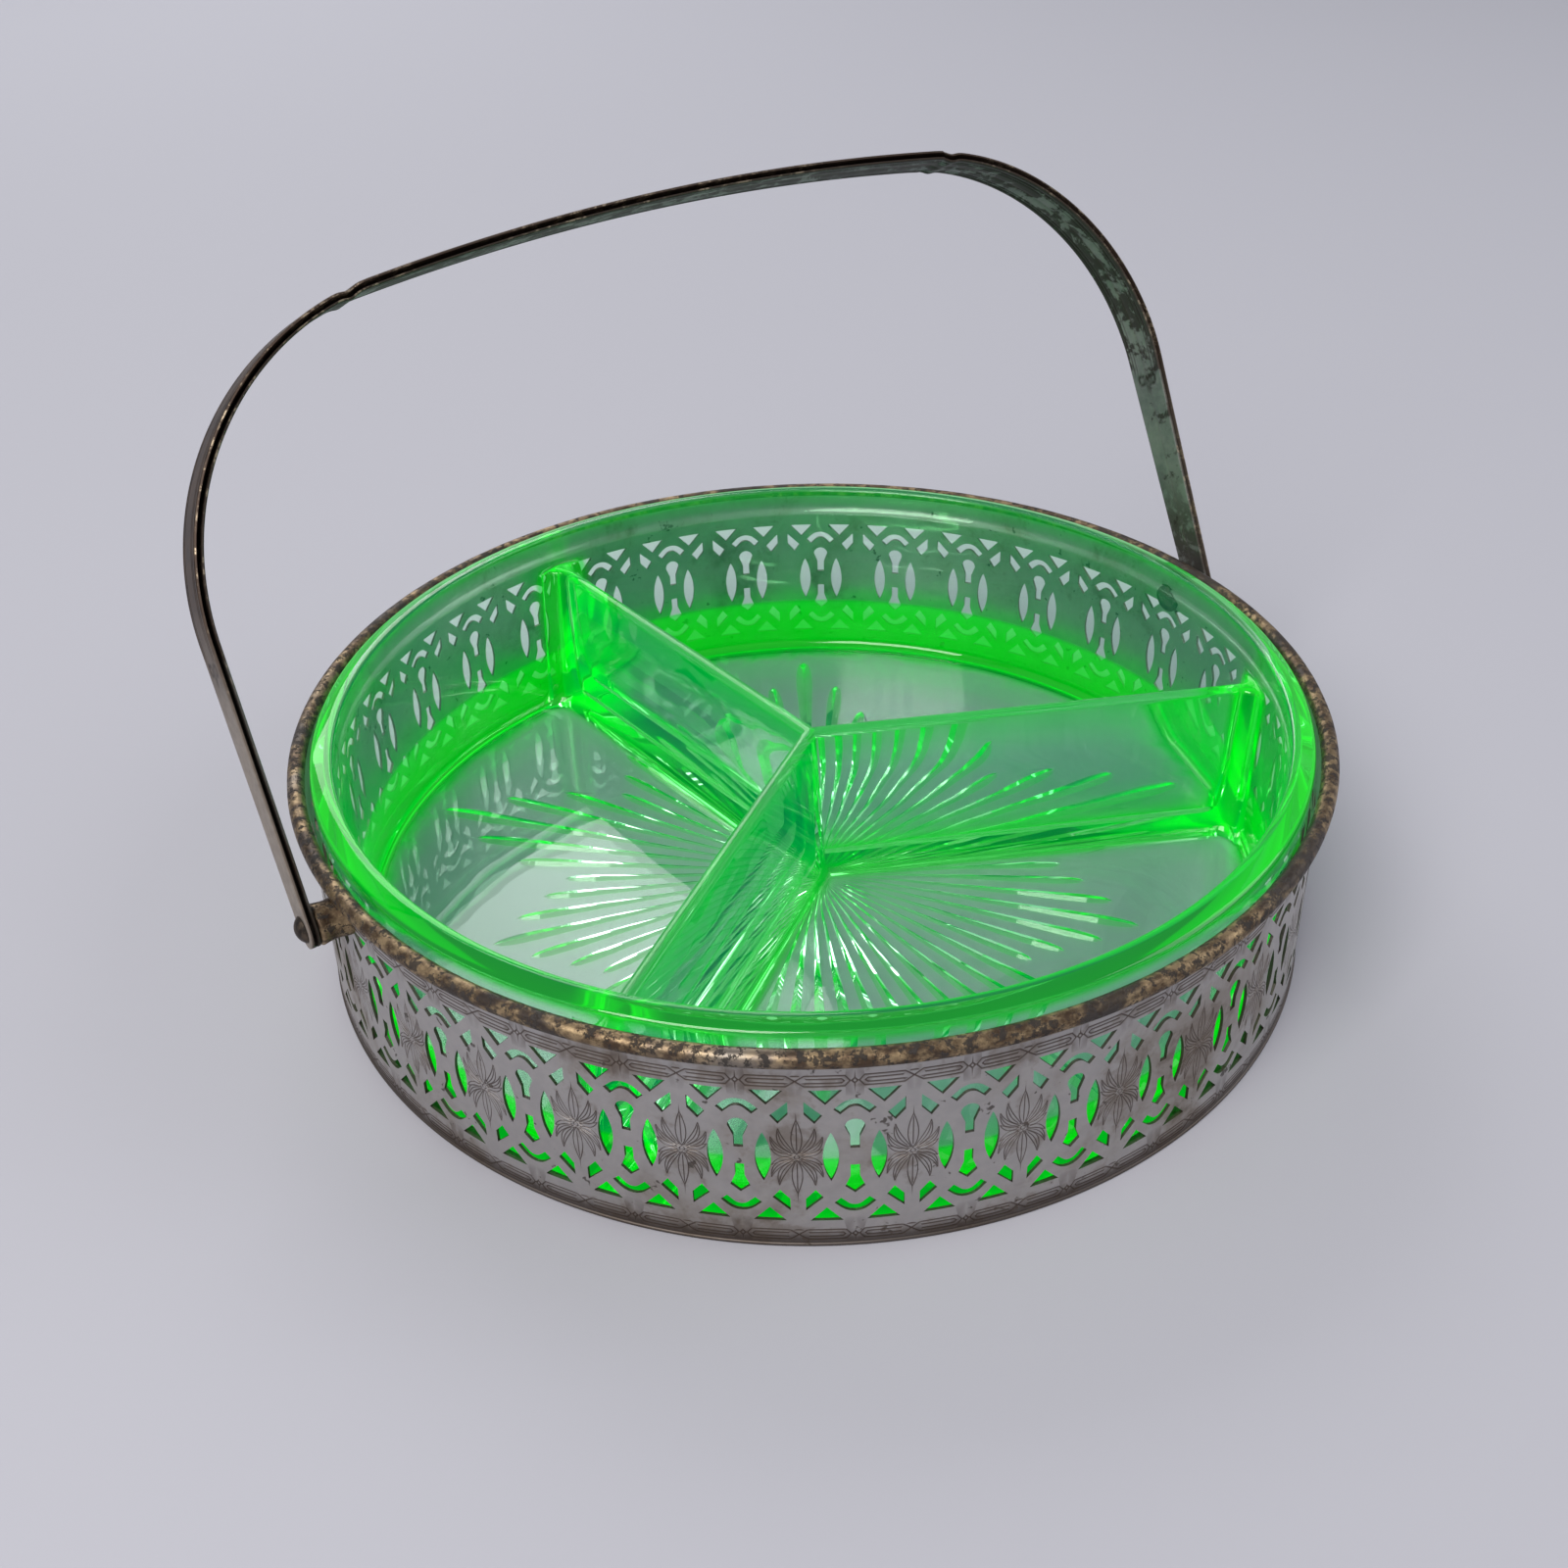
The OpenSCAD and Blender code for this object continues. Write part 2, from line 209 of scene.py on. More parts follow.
# Plate worn through to brass: brown and gold streaks with black lumps of corrosion
def brassyBead():
    material, shader, start = newMaterial("brassyBead", Metallic=0.8)
    place = start.node("TexCoord", output="Object")
    broad = noise(start, place, 26, 4, 0.6, 0.5)
    streaks = noise(start, start.node("Mapping", {}, {"Vector": place, "Scale": (1, 1, 1.6)}), 260, 5, 0.7)
    lumps = noise(start, place, 520, 4, 0.75)
    base = streaks.between(0.38, 0.68).colours((0.09, 0.058, 0.037), (0.40, 0.29, 0.165))
    base = (broad.between(0.55, 0.72) * 0.7).colours(base, (0.27, 0.24, 0.21))
    dark = lumps.between(0.50, 0.58)
    blackened = 1 - (broad + streaks * 0.25).between(0.52, 0.62)
    base = (dark * 0.9).colours(base, (0.02, 0.016, 0.014))
    base = (blackened * 0.88).colours(base, (0.028, 0.021, 0.018))
    feed(start, shader, Base_Color=base, Roughness=0.34 + dark * 0.3 + streaks * 0.18,
        Metallic=0.88 - dark * 0.6 - blackened * 0.4,
        Normal=bump(start, streaks * 0.4 + dark, 0.00016, 0.8))
    return material


# Strap: dark brown tarnish, worn to tan low on its legs and along its edges; grey-green and stained within
def tarnishedStrap():
    material, shader, start = newMaterial("tarnishedStrap", Metallic=0.7)
    place = start.node("TexCoord", output="Object")
    broad = noise(start, place, 30, 5, 0.62, 0.3)
    fine = noise(start, place, 520, 4, 0.7)
    blotches = noise(start, place, 170, 4, 0.7, 0.4)
    edge = stored(start, "edge")
    inner = stored(start, "inner")
    ornament = stored(start, "ornament")
    along = stored(start, "along")
    border = stored(start, "border")
    legs = 1 - (along + broad * 0.35).between(0.45, 0.75)
    outer = blotches.between(0.35, 0.65).colours((0.035, 0.024, 0.019), (0.085, 0.058, 0.043))
    outer = (legs * (0.35 + fine * 0.9)).colours(outer, (0.36, 0.31, 0.26))
    within = (broad + fine * 0.4).between(0.5, 0.85).colours((0.13, 0.15, 0.145), (0.25, 0.265, 0.245))
    stain = (blotches + border * 0.22 + (along - 0.42).between(0.0, 0.2) * 0.12).between(0.57, 0.66)
    within = (stain * 0.9).colours(within, (0.035, 0.028, 0.024))
    lowStain = (1 - along.between(0.12, 0.28)) * (blotches + fine * 0.3).between(0.5, 0.64)
    within = (lowStain * 0.8).colours(within, (0.05, 0.042, 0.034))
    base = inner.colours(outer, within)
    base = (ornament * (0.65 + blotches * 0.5)).colours(base, (0.022, 0.017, 0.014))
    base = (edge * 0.7).colours(base, (0.055, 0.033, 0.022))
    worn = edge * fine.between(0.5, 0.62) * broad.between(0.45, 0.6)
    base = (worn * 0.7).colours(base, (0.55, 0.44, 0.31))
    feed(start, shader, Base_Color=base, Roughness=0.40 + blotches * 0.25 - worn * 0.12,
        Metallic=0.62 + worn * 0.3, Normal=bump(start, fine * 0.4 + blotches * 0.6, 0.00009, 0.6))
    return material


# Dark tarnished brass with a few rubbed spots
def darkRivet():
    material, shader, start = newMaterial("darkRivet", Metallic=0.8)
    place = start.node("TexCoord", output="Object")
    fine = noise(start, place, 700, 4, 0.7)
    base = fine.between(0.35, 0.7).colours((0.022, 0.017, 0.014), (0.10, 0.075, 0.055))
    feed(start, shader, Base_Color=base, Roughness=0.38 + fine * 0.3, Metallic=0.6 + fine * 0.3,
        Normal=bump(start, fine, 0.0001, 0.7))
    return material


# Drawn wire: plain grey steel, lightly mottled
def ironWire():
    material, shader, start = newMaterial("ironWire", Metallic=0.9, Roughness=0.45)
    place = start.node("TexCoord", output="Object")
    fine = noise(start, place, 600, 3, 0.6)
    feed(start, shader, Base_Color=fine.between(0.3, 0.7).colours((0.16, 0.14, 0.12), (0.34, 0.32, 0.3)))
    return material


# Uranium glass: pale green that deepens with the stored painted glow and gives off that painted glow as emission,
# though it is no lamp; it takes more colour the thicker it is
def greenGlass():
    material, shader, start = newMaterial("greenGlass", Transmission_Weight=1.0, Roughness=0.015, IOR=1.5,
        Emission_Strength=0.3)
    place = start.node("TexCoord", output="Object")
    paintedGlow = stored(start, "paintedGlow")
    swirl = noise(start, place, 45, 2, 0.5)
    tint = paintedGlow.between(0.0, 0.6).colours((0.86, 1.0, 0.92), (0.05, 0.62, 0.09))
    paintedGlowColour = (paintedGlow + swirl * 0.03).colours((0.0, 0.045, 0.032), (0.0, 1.0, 0.0))
    # Painted glow: the base tint and the emission colour both follow the stored painted glow
    feed(start, shader, Base_Color=tint, Emission_Color=paintedGlowColour,
        Normal=bump(start, swirl, 0.0004, 0.25))
    depth = start.node("VolumeAbsorption", {}, {"Color": (0.16, 0.95, 0.42, 1), "Density": 9.0})
    start.tree.links.new(depth.socket, material.node_tree.nodes["Material Output"].inputs["Volume"])
    return material


# ---- Camera, floor and light ----

view = {"aim": (-4.78, 3.03, 26.46), "distance": 382.7, "azimuth": -32.36, "elevation": 34.60, "roll": 1.79,
    "lens": 42.14}


# The camera looks along azimuth (0 is +Y) and down by elevation, its right side dipped by roll
def placeCamera():
    az, el, roll = np.radians([view["azimuth"], view["elevation"], view["roll"]])
    forward = np.array([-np.sin(az) * np.cos(el), np.cos(az) * np.cos(el), -np.sin(el)])
    level = np.array([np.cos(az), np.sin(az), 0])
    above = np.cross(level, forward)
    right = np.cos(roll) * level - np.sin(roll) * above
    up = np.sin(roll) * level + np.cos(roll) * above
    at = np.array(view["aim"]) - forward * view["distance"]
    data = bpy.data.cameras.new("camera")
    data.lens = view["lens"]
    data.sensor_width = 36
    data.clip_start = 0.01
    camera = bpy.data.objects.new("camera", data)
    rows = np.stack([right, up, -forward, at * mm], -1).tolist()
    camera.matrix_world = Matrix(rows + [[0, 0, 0, 1]])
    bpy.context.scene.collection.objects.link(camera)
    bpy.context.scene.camera = camera


# A square soft light at a place, aimed at the dish
def softLight(name, place, size, power, colour):
    data = bpy.data.lights.new(name, "AREA")
    data.size = size
    data.energy = power
    data.color = colour
    lamp = bpy.data.objects.new(name, data)
    lamp.location = place
    lamp.rotation_euler = (Vector((0, 0, 0.03)) - Vector(place)).to_track_quat("-Z", "Y").to_euler()
    bpy.context.scene.collection.objects.link(lamp)


# A wide pale floor under a grey-white sky, with a key light, a fill and a light from behind
def setStage():
    material, shader, start = newMaterial("paleFloor", Roughness=0.9, Base_Color=(0.46, 0.455, 0.50, 1))
    half = 9000.0
    corners = [(-half, -half, 0), (half, -half, 0), (half, half, 0), (-half, half, 0)]
    makePiece("floor", corners, [(0, 1, 2, 3)], material)
    softLight("key", (-0.9, -0.5, 1.1), 0.8, 17, (1.0, 0.98, 0.95))
    softLight("fill", (1.1, -0.7, 0.8), 1.0, 6, (0.95, 0.97, 1.0))
    softLight("back", (0.2, 1.2, 0.9), 1.0, 8, (1.0, 1.0, 1.0))
    world = bpy.data.worlds.new("world")
    world.use_nodes = True
    sky = world.node_tree.nodes["Background"].inputs
    sky["Color"].default_value = (0.85, 0.88, 0.95, 1)
    sky["Strength"].default_value = 0.42
    bpy.context.scene.world = world
    bpy.context.scene.view_settings.view_transform = "Standard"


# ---- Glass dish ----

glass = {"under": 0.9, "floor": 5.5, "top": 48.0, "rimR": 99.4, "rimInR": 94.8, "rimH": 7.5, "wallR": 97.8,
    "footR": 96.8, "wallT": 3.6, "footRound": 1.2, "outerEdge": 1.2, "innerEdge": 0.7, "crestR": 96.4,
    "rimFall": 0.75, "floorFillet": 2.2, "dividerTop": 40.0, "dividerTurn": -25.0, "crownR": 1.6, "rootHalf": 4.0,
    "rootFillet": 3.0, "cornerFillet": 3.6, "endFillet": 0.7, "hub": 4.0, "rays": 60, "sprays": 5,
    "rayDepth": 0.75, "rayThin": 0.13, "rayWide": 0.25, "rayShoulder": 0.86, "rayLong": 88.0, "rayShort": 70.0,
    "longStep": 11.5, "shortStep": 6.0, "rayTurn": 57.5, "outerR": 95.4}

# Painted glow: how strongly each part of the glass is painted to glow and deepen in tint, from 0 to 1
paintedGlow = {"rimLow": 0.06, "rimHigh": 0.14, "rimCrest": 0.42, "rimInside": 0.2, "foot": 1.0, "wall": 0.6, "root": 0.5,
    "corner": 0.75, "crown": 0.3, "ray": 0.34}



# Inside radius of the wall at a height: it leans out from the foot to the rim
def wallInside(z):
    low, high = glass["footR"] - glass["wallT"], glass["rimInR"]
    return np.interp(z, [glass["floor"], glass["top"] - glass["rimH"]], [low, high])


# Half section of a divider: distance from its middle and height, over the round crown, down the side and into
# the floor
def dividerSection():
    g = glass
    crown = arc((0, g["dividerTop"] - g["crownR"]), g["crownR"], 90, 4, 7)
    side = np.array([g["rootHalf"] - g["crownR"], g["floor"] - g["dividerTop"] + g["crownR"]])
    sideTurn = np.degrees(np.arctan2(-side[1], side[0]))
    fillet = g["rootFillet"]
    lowest = np.array([g["rootHalf"], g["floor"]]) + side / side[1] * fillet * 0.9
    middle = (lowest[0] + fillet * np.sin(np.radians(sideTurn)), g["floor"] + fillet)
    foot = arc(middle, fillet, 180 + (90 - sideTurn), 270, 5)
    between = crown[-1] + (foot[0] - crown[-1]) * np.array([0.33, 0.67])[:, None]
    return np.concatenate([crown, between, foot])


# The glass's outline from the inside of the wall over the rim and down to the underside, as radius and height
def rimOutline():
    g = glass
    base = g["top"] - g["rimH"]
    inside = arc((g["rimInR"] + g["innerEdge"], g["top"] - g["innerEdge"]), g["innerEdge"], 180, 90, 6)
    crest = np.array([[g["crestR"] - 0.1, g["top"]], [g["crestR"] + 0.15, g["top"] - 0.07]])
    edge = g["outerEdge"]
    outside = arc((g["rimR"] - edge, g["top"] - edge - g["rimFall"]), edge, 72, 0, 6)
    step = g["rimR"] - g["wallR"]
    neck = arc((g["rimR"] - 0.5, base + step), 0.5, 0, -45, 3)
    hollow = arc((g["wallR"] + 0.6, base - 0.25), 0.6, 135, 180, 3)
    foot = arc((g["footR"] - g["footRound"], g["under"] + g["footRound"]), g["footRound"], 0, -80, 5)
    rise = np.array([[g["rimInR"], base], [g["rimInR"], (base + g["top"]) / 2]])
    drop = np.array([[g["rimR"], (base + g["top"]) / 2]])
    footTop = foot[0][1]
    down = (base - np.array([34, 28, 22, 17.3, 16.1, 10, 6])) / (base - footTop)
    wall = np.stack([g["wallR"] + (g["footR"] - g["wallR"]) * down, base + (footTop - base) * down], -1)
    return np.concatenate([rise, inside, crest, outside, drop, neck, hollow, wall, foot])


# Upper surface: lines at a constant distance from a divider's middle run from the half-way line between two
# dividers out to the wall, then up it, over the rim and down the outside
def glassTop():
    g = glass
    section = dividerSection()
    reach = wallInside(g["floor"] + g["floorFillet"]) - g["floorFillet"]
    angles = np.radians(np.linspace(np.degrees(np.arcsin((section[-1][0] + 0.7) / reach)), 60, 72))
    distance = np.concatenate([section[:, 0], reach * np.sin(angles)])
    height = np.concatenate([section[:, 1], np.full(len(angles), g["floor"])])
    raised = easeStep(g["floor"] + 6, g["floor"], height)
    fillet = g["endFillet"] + (g["floorFillet"] - g["endFillet"]) * raised
    ends = wallInside(height + fillet) - fillet
    corner = g["cornerFillet"]
    spread = easeStep(0, g["crownR"], distance) * easeStep(24, 6, distance)     # share of the corner's fillet
    start = distance / np.tan(np.radians(60))
    reached = distance + corner * spread
    stop = np.sqrt(np.maximum(ends ** 2 - reached ** 2, start ** 2))
    last = np.minimum(corner + 1, 0.6 * (stop - start))[:, None]
    backFromWall = last * np.linspace(1, 0, 9)[None, :] ** 1.4
    before = start[:, None] + (stop[:, None] - last - start[:, None]) * np.linspace(0, 1, 15)[None, :-1]
    along = np.concatenate([before, stop[:, None] - backFromWall], 1)
    toWall = np.clip(1 - (stop[:, None] - along) / corner, 0, 1)
    swing = corner * (1 - np.sqrt(1 - toWall ** 2)) * spread[:, None]
    flat = np.stack([along, distance[:, None] + swing, height[:, None] + 0 * along], -1)
    polar = np.arctan2(reached, stop)
    bend = np.radians(np.linspace(0, 90, 7))[None, 1:]
    radius = ends[:, None] + fillet[:, None] * np.sin(bend)
    rise = height[:, None] + fillet[:, None] * (1 - np.cos(bend))
    base = g["top"] - g["rimH"]
    climb = np.linspace(0, 1, 8)[None, 1:-1]
    wallZ = rise[:, -1:] + (np.maximum(base, rise[:, -1:] + 0.02) - rise[:, -1:]) * climb
    radius = np.concatenate([radius, wallInside(wallZ)], 1)
    rise = np.concatenate([rise, wallZ], 1)
    outline = rimOutline()
    outlineZ = np.maximum(outline[None, :, 1], 0)
    low = np.arange(len(outline))[None, :] == 0
    outlineZ = np.where(low, np.maximum(outlineZ, rise[:, -1:] + 0.02), outlineZ + 0 * rise[:, -1:])
    radius = np.concatenate([radius, np.repeat(outline[None, :, 0], len(distance), 0)], 1)
    rise = np.concatenate([rise, outlineZ], 1)
    upright = np.stack([radius * np.cos(polar)[:, None], radius * np.sin(polar)[:, None], rise], -1)
    return np.concatenate([flat, upright], 1)


# Length of each ray: five large sprays with five small ones between
def rayLengths():
    g = glass
    i = np.arange(g["rays"])
    spray = g["rays"] // g["sprays"]
    away = np.minimum(i % spray, spray - i % spray)
    longest = np.maximum(g["rayLong"] - g["longStep"] * away, g["rayShort"] - g["shortStep"] * (spray / 2 - away))
    return np.minimum(longest, g["footR"] - g["footRound"] - 2)


# Underside: each ray is a leaf-shaped V groove that widens to a shoulder and ends in a point; the columns are the
# border between two rays, the flat beside a ray, its edges and its middle
def glassUnder():
    g = glass
    tips = rayLengths()
    pitch = wholeTurn / g["rays"]
    rim = g["footR"] - g["footRound"] * 0.83
    inner = np.concatenate([np.linspace(0, 0.80, 17), np.linspace(0.84, 1, 8)])
    beyond = np.linspace(0, 1, 7)[1:]
    grow = g["rayThin"] + (g["rayWide"] - g["rayThin"]) * inner
    pastShoulder = np.maximum(inner - g["rayShoulder"], 0) / (1 - g["rayShoulder"])
    close = np.sqrt(np.maximum(1 - pastShoulder ** 1.6, 0))
    width = grow * close
    offsets = np.concatenate([width, 0.25 * beyond])
    depth = np.concatenate([np.minimum(width / g["rayWide"], 1) * easeStep(0, 0.12, inner), 0 * beyond])
    depth *= g["rayDepth"]
    beside = np.minimum(offsets + 0.03, 0.45)
    tipHere = np.stack([(tips + np.roll(tips, 1)) / 2, tips, tips, tips, tips, tips], 1)
    radius = np.concatenate([g["hub"] + (tipHere[..., None] - g["hub"]) * inner,
        tipHere[..., None] + (rim - tipHere[..., None]) * beyond], -1)
    turn = np.stack([-0.5 + 0 * offsets, -beside, -offsets, 0 * offsets, offsets, beside], 0)
    angle = np.radians(g["rayTurn"]) + pitch * (np.arange(g["rays"])[:, None, None] + turn[None])
    sunk = np.array([0, 0, 0, 1, 0, 0])[:, None] * depth
    inRay = np.array([0, 0, 1, 1, 1, 0])[:, None] * easeStep(0, 0.05, depth)
    z = g["under"] + sunk[None] + 0 * radius
    points = np.stack([radius * np.cos(angle), radius * np.sin(angle), z], -1)
    return points.reshape(g["rays"] * 6, -1, 3), (inRay[None] + 0 * radius).reshape(-1)


# Distance in plan from the nearest divider's middle line
def distanceToDividers(points):
    turns = np.radians(glass["dividerTurn"] + 120 * np.arange(3))[:, None]
    along = points[:, 0] * np.cos(turns) + points[:, 1] * np.sin(turns)
    across = np.abs(points[:, 1] * np.cos(turns) - points[:, 0] * np.sin(turns))
    return np.where(along > 0, across, np.hypot(points[:, 0], points[:, 1])).min(0)


# Painted glow of each point: the strongest of its zones, each a product of smooth steps in height, radius and
# distance from the dividers
def paintedGlowAt(points, inRay):
    g, w = glass, paintedGlow
    radius, z = np.hypot(points[:, 0], points[:, 1]), points[:, 2]
    toDivider = distanceToDividers(points)
    outside = radius > g["outerR"]
    aboveFloor = easeStep(1, 3, z)
    rim = w["rimLow"] + w["rimHigh"] * easeStep(44, 46.5, z)
    rim += w["rimCrest"] * easeStep(96.2, 96.7, radius) * easeStep(45.2, 46.4, z)
    rim = np.where(outside, rim * (z > g["top"] - g["rimH"] - 0.3), w["rimInside"] * easeStep(46.2, 47.2, z))
    foot = w["foot"] * easeStep(17.2, 16.2, z) * outside
    wall = w["wall"] * easeStep(21, 9, z) * easeStep(90.5, 93, radius) * ~outside
    root = w["root"] * easeStep(8, 5, toDivider) * easeStep(13, 7, z) * aboveFloor
    corner = w["corner"] * easeStep(88, 91, radius) * easeStep(9, 5, toDivider) * aboveFloor
    corner *= easeStep(41, 39.5, z) * ~outside
    crown = w["crown"] * easeStep(37.6, 38.8, z) * easeStep(3, 2, toDivider) * (radius < 95)
    return np.maximum.reduce([rim, foot, wall, root, corner, crown, w["ray"] * inRay])


# The dish: six mirrored copies of the upper surface and the underside with its hub, joined along the foot
def makeGlass(material):
    half = glassTop()
    lines, count = half.shape[:2]
    parts, faces = [], []
    for k in range(3):
        turn = np.radians(glass["dividerTurn"] + 120 * k)
        c, s = np.cos(turn), np.sin(turn)
        for side in (1, -1):
            x, y = half[..., 0], half[..., 1] * side
            part = gridFaces(lines, count, closeColumns=False, first=len(parts) * lines * count)
            faces.append(part[:, ::-1] if side == 1 else part)
            parts.append(np.stack([x * c - y * s, x * s + y * c, half[..., 2]], -1).reshape(-1, 3))
    under, inRay = glassUnder()
    columns, rows = under.shape[:2]
    first = len(parts) * lines * count
    faces.append(gridFaces(columns, rows, closeRows=True, closeColumns=False, first=first)[:, ::-1])
    points = np.concatenate(parts + [under.reshape(-1, 3)])
    hub = first + np.arange(columns) * rows
    mesh = bpy.data.meshes.new("greenGlassDish")
    mesh.from_pydata((points * mm).tolist(), [], np.concatenate(faces).tolist() + [hub.tolist()])
    # The painted glow is stored on each point
    layer = mesh.attributes.new("paintedGlow", "FLOAT", "POINT")
    strength = paintedGlowAt(points, np.concatenate([np.zeros(first), inRay]))
    layer.data.foreach_set("value", strength.astype(np.float32))
    work = bmesh.new()
    work.from_mesh(mesh)
    bmesh.ops.remove_doubles(work, verts=work.verts, dist=2e-7)
    bmesh.ops.dissolve_degenerate(work, edges=work.edges, dist=1e-8)
    bmesh.ops.bridge_loops(work, edges=[e for e in work.edges if len(e.link_faces) == 1])
    bmesh.ops.triangulate(work, faces=[f for f in work.faces if len(f.verts) > 4])
    bmesh.ops.recalc_face_normals(work, faces=work.faces)
    print("glass edges not shared by two faces:", sum(len(e.link_faces) != 2 for e in work.edges))
    work.to_mesh(mesh)
    work.free()
    mesh.polygons.foreach_set("use_smooth", np.ones(len(mesh.polygons), bool))
    mesh.set_sharp_from_angle(angle=np.radians(24))
    mesh.materials.append(material)
    piece = bpy.data.objects.new("greenGlassDish", mesh)
    bpy.context.scene.collection.objects.link(piece)
    return piece


# ---- Pierced gallery band ----

band = {"outR": 101.2, "sheet": 0.6, "low": 0.8, "high": 44.4, "repeats": 33, "middle": 21.35, "strip": 1.45,
    "levels": 13, "petalLine": 0.13, "borderLine": 0.24, "petalShade": 0.85, "petalReach": 10, "lineDepth": 0.1,
    "dirtReach": 12, "innerDirt": 0.2, "wallDirtAndShade": 0.6, "wallShade": 0.85, "lensW": 2.7, "lensH": 11.2,
    "lensX": 4.0, "keyW": 3.4, "keyL": 6.6, "neckW": 1.6, "keyGap": 3.9, "triW": 5.6, "triH": 3.2, "triZ": 15.1,
    "chevT": 1.6, "chevR": 2.5, "chevLeg": 1.7, "chevZ": 13.0, "borders": (38.4, 2.75)}
band["half"] = np.pi * band["outR"] / band["repeats"]


# A pointed oval: two equal arcs
def lensShape(x):
    w, h = band["lensW"], band["lensH"]
    r = (w * w + h * h) / (4 * w)
    swing = np.degrees(np.arcsin(h / 2 / r))
    right = arc((x - r + w / 2, 0), r, -swing, swing, 13)
    left = arc((x + r - w / 2, 0), r, 180 - swing, 180 + swing, 13)
    return np.concatenate([right[:-1], left[:-1]])


# A keyhole standing on its neck, with a round head or a pointed one
def keyShape(pointed):
    b = band
    head, neck, length = b["keyW"] / 2, b["neckW"] / 2, b["keyL"]
    if pointed:
        upper = [(head, 0.76 * length), (0, length), (-head, 0.76 * length)]
        neckZ = 0.4 * length
    else:
        upper = arc((0, length - head), head, 0, 180, 13).tolist()
        neckZ = length - head - 1.4 * head
    outline = [(-neck, 0), (neck, 0), (neck, neckZ)] + list(upper) + [(-neck, neckZ)]
    return np.array(outline) + [0, b["keyGap"] / 2]


# A boomerang: an arc with a straight leg at each end
def chevronShape():
    b = band
    turn = np.radians(45)
    legs = b["chevLeg"] * np.array([np.cos(turn), -np.sin(turn)])
    top = b["chevZ"] - b["chevR"] - b["chevT"] / 2
    rows = []
    a = np.linspace(-turn, turn, 7)
    for r, order in ((b["chevR"] + b["chevT"] / 2, 1), (b["chevR"] - b["chevT"] / 2, -1)):
        bend = r * np.stack([np.sin(a), np.cos(a)], -1)
        ends = [bend[0] + legs * [-1, 1], bend[-1] + legs]
        rows.append(np.concatenate([[ends[0]], bend, [ends[1]]])[::order])
    return np.concatenate(rows) + [0, top]


# All openings that touch one half repeat, from an H at 0 to a flower at band["half"]
def openingShapes():
    b = band
    half = b["half"]
    triangle = np.array([(-b["triW"] / 2, b["triZ"]), (b["triW"] / 2, b["triZ"]), (0, b["triZ"] - b["triH"])])
    gap = np.array([(1.3, 12.6), (1.3, 9.8), (3, 7.7), (4.3, 9.5)]) * [-1, 1] + [half, 0]
    paired = [chevronShape(), triangle + [half / 2, 0], gap]
    shapes = [lensShape(b["lensX"]), keyShape(False), keyShape(True) * [1, -1]]
    shapes += [s * [1, sign] for s in paired for sign in (1, -1)]
    return [s + [0, b["middle"]] for s in shapes]


# One petal from its root to its tip: two bulging sides and a midrib, bent sideways by sway
def petalLines(root, tip, width, sway):
    root, tip = np.array(root, float), np.array(tip, float)
    t = np.linspace(0, 1, 9)[:, None]
    across = np.array([-(tip - root)[1], (tip - root)[0]]) / np.linalg.norm(tip - root)
    middle = root + (tip - root) * t + across * sway * 4 * t * (1 - t)
    bulge = np.sin(np.pi * t ** 0.85) ** 0.9
    return [middle + across * width * bulge, middle - across * width * bulge, middle[1:8]]


# Engraved lines of one half repeat: the flower's petals and the two borders
def engravedLines():
    b = band
    half = b["half"]
    lines = []
    for z in (1, -1):
        lines += petalLines((0, 0.7 * z), (0, 8.5 * z), 0.9, 0)
        lines += petalLines((-0.35, 0.9 * z), (-3.0, 6.6 * z), 0.6, 0.8 * z)
        lines += petalLines((-0.6, 0.6 * z), (-4.3, 4.7 * z), 0.55, 0.95 * z)
        lines += petalLines((-0.75, 0.3 * z), (-4.25, 1.9 * z), 0.42, 0.5 * z)[:2]
    t = np.linspace(90, 270, 7)
    lines.append(np.stack([0.45 * np.cos(np.radians(t)), 0.45 * np.sin(np.radians(t))], -1))
    lines = [line + [half, b["middle"]] for line in lines]
    widths = [b["petalLine"]] * len(lines)
    hexagon = np.array([(0.75, 0), (1.6, 1.15), (half - 1.5, 1.15), (half, 0)])
    within = np.array([(1.7, 0), (2.1, 0.45), (half - 1.8, 0.45)])
    diamond = np.array([(0, 0.55), (0.5, 0)])
    for z in b["borders"]:
        lines += [line * [1, sign] + [0, z] for sign in (1, -1) for line in (hexagon, within, diamond)]
        lines.append(np.array([(half - 0.6, 1.15), (half, 1.15)]) + [0, z])
    return lines, widths + [b["borderLine"]] * (len(lines) - len(widths))


# Constraint points and edges of a list of lines, closed or open
def joinLines(lines, closed):
    edges, first = [], 0
    for line in lines:
        n = len(line)
        i = np.arange(n if closed else n - 1)
        edges.append(np.stack([first + i, first + (i + 1) % n], -1))
        first += n
    return np.concatenate(lines), np.concatenate(edges)


# Which points lie inside a polygon, by counting crossings of a level ray
def insideShape(points, shape):
    x, z = points[:, 0:1], points[:, 1:2]
    a, b = shape, np.roll(shape, -1, 0)
    crosses = (a[:, 1] > z) != (b[:, 1] > z)
    with np.errstate(divide="ignore", invalid="ignore"):
        meet = (b[:, 0] - a[:, 0]) * (z - a[:, 1]) / (b[:, 1] - a[:, 1]) + a[:, 0]
    return (crosses & (x < meet)).sum(1) % 2 == 1


# Distance of each point from the nearest of many short lines, as a share of that line's half width
def distanceToLines(points, starts, ends, spans):
    run = ends - starts
    rel = points[:, None, :] - starts[None]
    t = np.clip((rel * run).sum(-1) / np.maximum((run * run).sum(-1), 1e-12), 0, 1)
    return (np.sqrt(((rel - run * t[..., None]) ** 2).sum(-1)) / spans).min(1)


